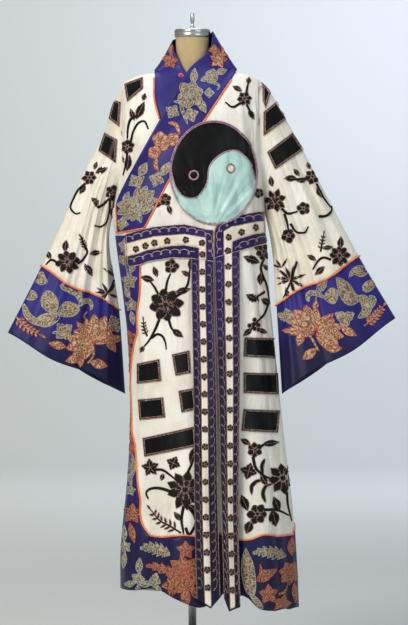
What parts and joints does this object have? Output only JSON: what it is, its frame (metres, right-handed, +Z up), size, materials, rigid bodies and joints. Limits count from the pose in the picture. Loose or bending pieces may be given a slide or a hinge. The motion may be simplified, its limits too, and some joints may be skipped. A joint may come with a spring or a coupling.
{
  "type": "stage robe on dress form",
  "caption": "Wide-sleeved stage robe with a crossed collar, sash streamers and applique, hanging on a limbless linen dress form with a round stand.",
  "frame": {"origin": "on the floor, under the centre of the stand's round base", "axes": "+Z up along the pole, -Y to the robe's front, +X to the wearer's left"},
  "size_m": [1.046, 0.4071, 1.742],
  "materials": {
    "cream_satin": "satin weave",
    "blue_satin": "satin weave",
    "orange_satin": "satin piping",
    "black_velvet": "short pile",
    "teal_satin": "satin weave",
    "pink_satin": "wound thread",
    "linen": "plain weave",
    "steel": "brushed",
    "iron": "black enamel"
  },
  "bodies": {
    "root": {"front_outer": "cream_satin", "front_inner": "cream_satin", "back_left": "cream_satin", "back_right": "cream_satin", "sleeve_left": "cream_satin", "sleeve_right": "cream_satin", "cuff_left": "blue_satin", "cuff_right": "blue_satin", "piping_cuff_left": "orange_satin", "piping_cuff_right": "orange_satin", "border_front": "blue_satin", "piping_border": "orange_satin", "border_back_left": "blue_satin", "border_back_right": "blue_satin", "sash_right": "blue_satin", "sash_left": "blue_satin", "streamer_right": "blue_satin", "streamer_left": "blue_satin", "bar_inner_1": "black_velvet", "bar_sleeve_right_1": "black_velvet", "bar_sleeve_right_2": "black_velvet", "bar_sleeve_left_1": "black_velvet", "bar_sleeve_left_2": "black_velvet", "bar_sleeve_left_3": "black_velvet", "bar_outer_1": "black_velvet", "bar_outer_2": "black_velvet", "bar_outer_3": "black_velvet", "bar_outer_4": "black_velvet", "bar_outer_5": "black_velvet", "bar_outer_6": "black_velvet", "bar_outer_7": "black_velvet", "bar_outer_8": "black_velvet", "collar_under": "blue_satin", "collar_outer": "blue_satin", "piping_collar": "orange_satin", "piping_under": "orange_satin", "disc_dark": "black_velvet", "disc_pale": "teal_satin", "eye_dark": "black_velvet", "eye_pale": "cream_satin", "button": "pink_satin", "form_torso": "linen", "neck_cap": "steel", "top_pin": "steel", "stand_pole": "steel", "stand_base": "iron"}
  },
  "joints": []
}
